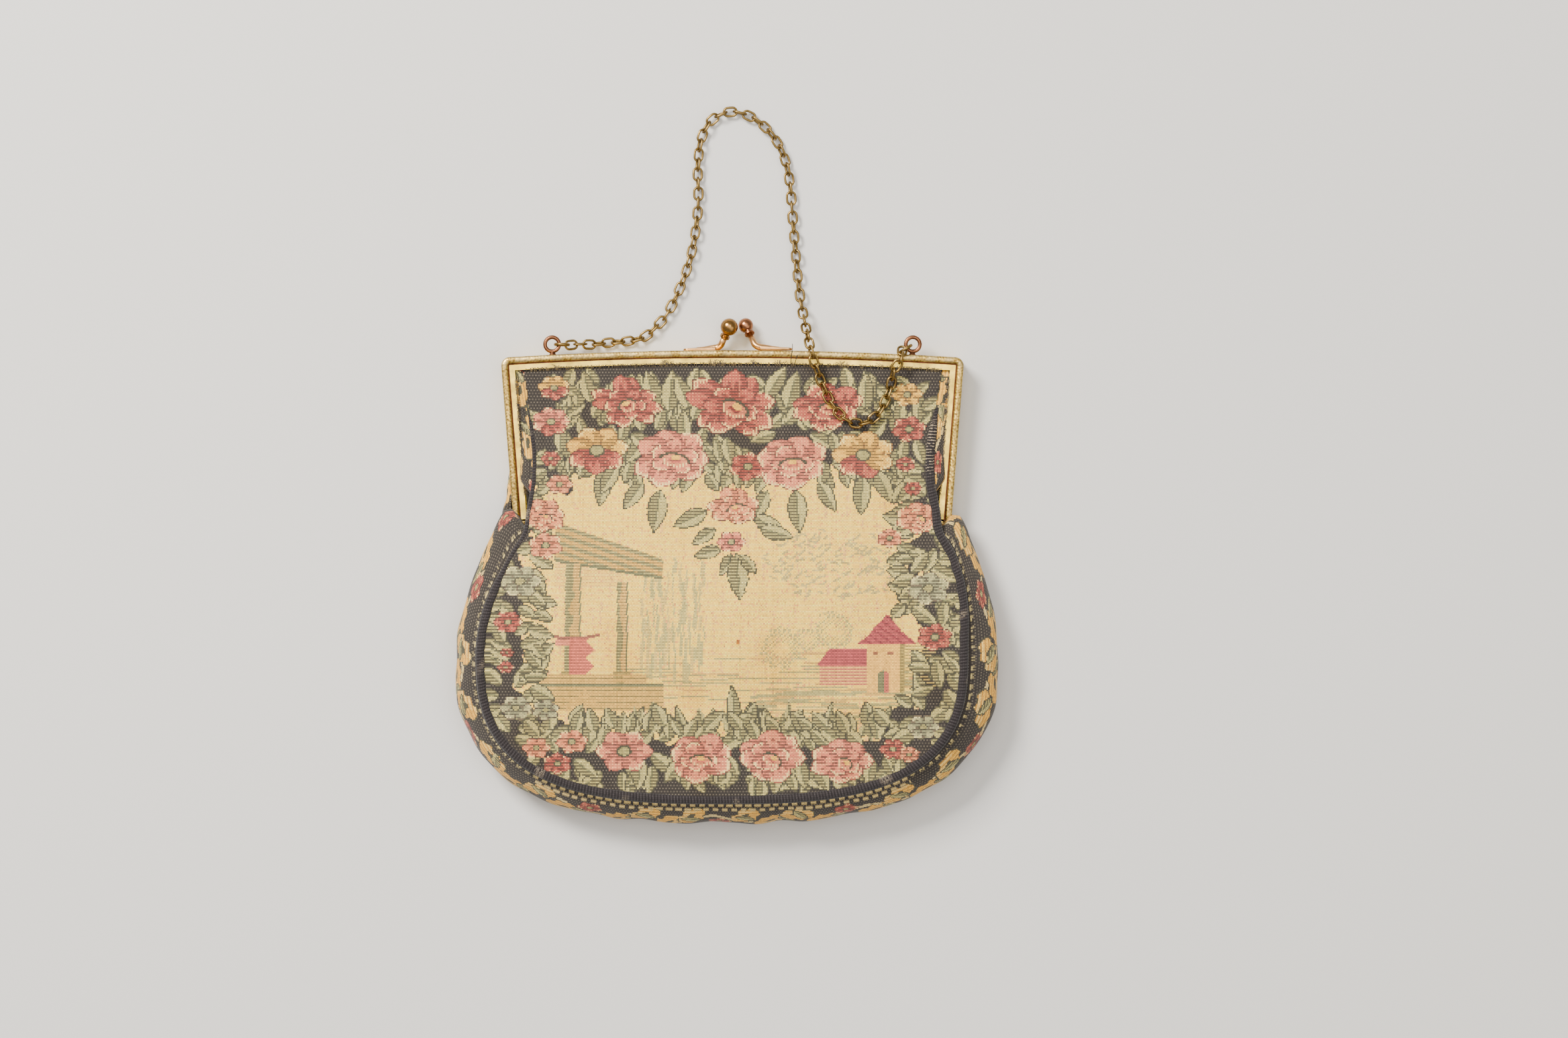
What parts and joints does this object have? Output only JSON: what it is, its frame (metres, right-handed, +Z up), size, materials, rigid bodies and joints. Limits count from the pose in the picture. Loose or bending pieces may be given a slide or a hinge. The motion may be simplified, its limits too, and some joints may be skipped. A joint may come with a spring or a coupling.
{
  "type": "tapestry clasp purse",
  "caption": "Small tapestry handbag with a gilt hinged kiss-clasp frame, piped seams, a bulging gusset and a fine brass carrying chain, lying on its back.",
  "frame": {"origin": "middle of the back panel's flat face, half way up the bag, on the table", "axes": "+X across the bag, +Y from the bottom of the bag towards the clasp, +Z up through the front panel"},
  "size_m": [0.184, 0.2495, 0.0273],
  "materials": {
    "engraved_gilt": "engraved gilt, worn",
    "plain_gilt": "satin gilt",
    "rose_gilt": "rubbed rose gilt",
    "old_brass": "antiqued brass wire",
    "tapestry": "woven tapestry with flowers and a garden scene",
    "piping": "ribbed dark cloth over cord",
    "lining": "satin"
  },
  "bodies": {
    "purse": {"back_rim": "engraved_gilt", "back_flange": "plain_gilt", "left_hinge_rivet": "plain_gilt", "right_hinge_rivet": "plain_gilt", "back_clasp_arm": "rose_gilt", "back_clasp_ball": "rose_gilt", "front_panel": "tapestry", "back_panel": "tapestry", "gusset": "tapestry", "front_piping": "piping", "back_piping": "piping", "lining": "lining"},
    "front_half": {"front_rim": "engraved_gilt", "front_flange": "plain_gilt", "front_clasp_arm": "rose_gilt", "front_clasp_ball": "rose_gilt", "left_chain_eye": "rose_gilt", "right_chain_eye": "rose_gilt", "left_jump_ring": "old_brass", "right_jump_ring": "old_brass", "chain": "old_brass"}
  },
  "joints": [
    {"name": "frame_hinge", "type": "hinge", "parent": "purse", "child": "front_half", "pos_m": [0, 0.0224, 0.00535], "axis": [1, 0, 0], "range_deg": [0, 70], "deforming": ["front_panel", "front_piping", "lining"]}
  ]
}
